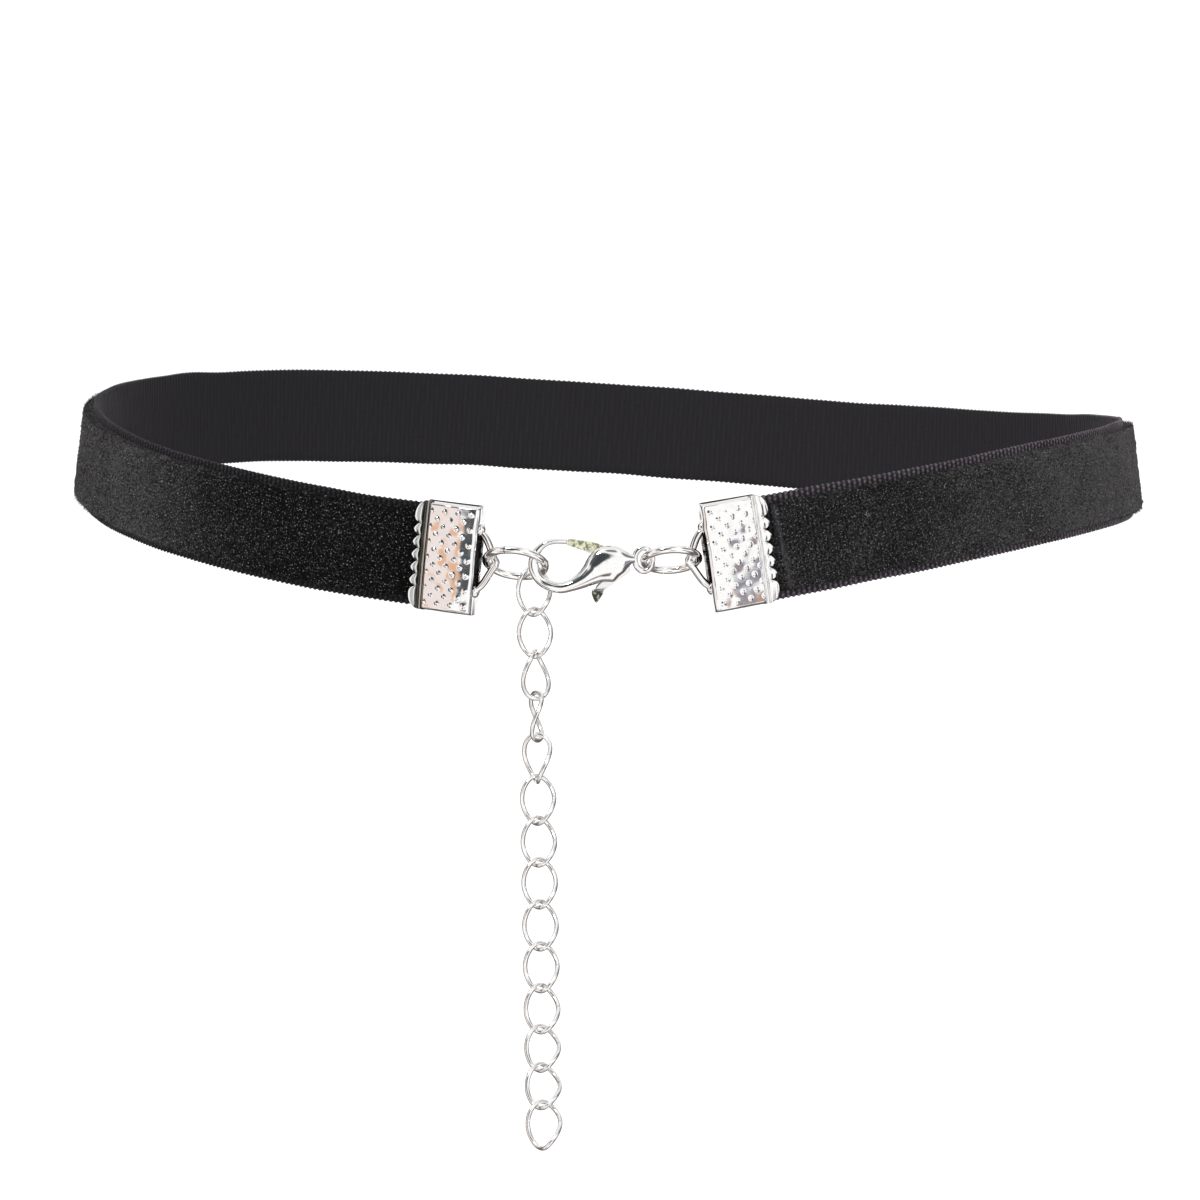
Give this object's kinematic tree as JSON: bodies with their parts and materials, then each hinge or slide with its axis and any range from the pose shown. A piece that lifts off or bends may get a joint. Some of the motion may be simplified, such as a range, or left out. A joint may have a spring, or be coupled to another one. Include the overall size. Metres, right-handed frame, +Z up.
{
  "type": "choker necklace",
  "caption": "Velvet ribbon choker with folded crimp ends, oval rings, a lobster clasp with a sprung lever and an extender chain.",
  "frame": {"origin": "middle of the neck, at the height of the band opposite the clasp", "axes": "+Z up along the neck, +X to the right of the clasp seen from outside, the clasp on the -Y side"},
  "size_m": [0.1094, 0.1194, 0.0686],
  "materials": {
    "velvet": "black velvet pile with woven edges",
    "plated_metal": "bright plated",
    "lever_metal": "plated with thin greenish wear on the gate"
  },
  "bodies": {
    "necklace": {"ribbon": "velvet", "crimp_left": "plated_metal", "crimp_right": "plated_metal", "ring_left": "plated_metal", "ring_right": "plated_metal", "clasp_body": "plated_metal", "chain_link_01": "plated_metal", "chain_link_02": "plated_metal", "chain_link_03": "plated_metal", "chain_link_04": "plated_metal", "chain_link_05": "plated_metal", "chain_link_06": "plated_metal", "chain_link_07": "plated_metal", "chain_link_08": "plated_metal", "chain_link_09": "plated_metal", "chain_link_10": "plated_metal", "chain_link_11": "plated_metal", "chain_link_12": "plated_metal", "chain_link_13": "plated_metal", "chain_link_14": "plated_metal"},
    "lever": {"clasp_lever": "lever_metal"}
  },
  "joints": [
    {"name": "lever_press", "type": "hinge", "parent": "necklace", "child": "lever", "pos_m": [0.00122, -0.0513, -0.00769], "axis": [0, -1, 0], "range_deg": [0, 25], "stiffness_Nm_per_rad": 0.002, "springref_deg": -11.46}
  ]
}
